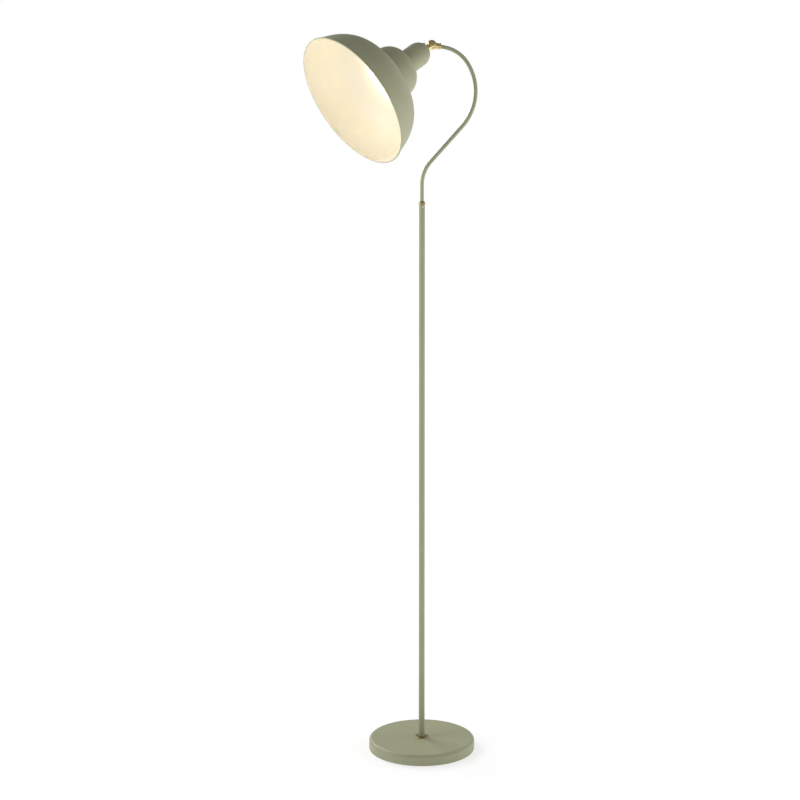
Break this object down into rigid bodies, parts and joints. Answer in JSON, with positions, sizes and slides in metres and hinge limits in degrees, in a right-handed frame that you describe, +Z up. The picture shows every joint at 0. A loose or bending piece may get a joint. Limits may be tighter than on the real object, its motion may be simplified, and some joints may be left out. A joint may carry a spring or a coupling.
{
  "type": "adjustable floor lamp",
  "caption": "Slim floor lamp with a weighted round base, a swan-neck arm that turns on the pole, a brass knuckle and a stepped spun-metal shade that tilts and rolls.",
  "frame": {"origin": "centre of the base's underside, on the floor", "axes": "+Z up along the pole, -Y the side the shade lights, +X the side the swan neck bulges towards; rest pose has the shade bent 52.4 degrees at the knuckle, facing -X, -Y and down"},
  "size_m": [0.3566, 0.349, 1.5239],
  "materials": {
    "sage_paint": "matt sage green powder coat on steel",
    "brass": "satin polished brass",
    "steel": "zinc-plated steel fittings",
    "iron": "rough casting",
    "rubber": "matt",
    "felt": "dense non-slip felt",
    "nylon": "natural nylon",
    "white_plastic": "heat-resistant moulding",
    "opal_glass": "opal glass lamp, lit",
    "bulb_metal": "pressed screw cap",
    "lead_sheath": "round sheathed twin lead"
  },
  "bodies": {
    "stand": {"base_pad": "felt", "base_weight": "iron", "base_cover": "sage_paint", "cord_grommet": "rubber", "foot_ring": "brass", "base_stem": "steel", "base_washer": "steel", "base_nut": "steel", "pole_lower": "sage_paint", "pole_middle": "sage_paint", "pole_upper": "sage_paint", "pole_foot_bush": "steel", "pole_couplers": "steel", "arm_collar": "brass", "collar_screw": "steel", "arm_bush": "nylon", "pole_lead": "lead_sheath"},
    "arm": {"arm_tube": "sage_paint", "arm_clip": "steel", "arm_thrust_ring": "steel", "arm_stop_pin": "steel", "arm_lead": "lead_sheath"},
    "knuckle": {"knuckle_arm_half": "brass", "knuckle_roll_screw": "steel", "knuckle_friction_washer": "nylon", "knuckle_spring_washer": "steel", "knuckle_pivot_screw": "brass", "knuckle_pivot_nut": "brass", "knuckle_cores": "lead_sheath"},
    "head": {"knuckle_shade_half": "brass", "cap_cup": "sage_paint", "cap_plate": "steel", "cap_screws": "sage_paint", "cap_nipple": "steel", "cap_nut": "steel", "holder_top": "white_plastic", "holder_body": "white_plastic", "holder_shell": "brass", "holder_contact": "brass", "holder_terminals": "brass", "shade_ring": "white_plastic", "shade": "sage_paint", "bulb_glass": "opal_glass", "bulb_cap": "bulb_metal", "head_lead": "lead_sheath"}
  },
  "joints": [
    {"name": "arm_swivel", "type": "hinge", "parent": "stand", "child": "arm", "pos_m": [0, 0, 1.183], "axis": [0, 0, 1], "range_deg": [-145, 145]},
    {"name": "knuckle_roll", "type": "hinge", "parent": "arm", "child": "knuckle", "pos_m": [0.02007, 0, 1.50879], "axis": [-0.9833, 0, 0.1822], "range_deg": [-5, 90]},
    {"name": "head_tilt", "type": "hinge", "parent": "knuckle", "child": "head", "pos_m": [0.02007, 0, 1.50879], "axis": [0.1083, -0.8043, 0.5843], "range_deg": [-140, 30]}
  ]
}
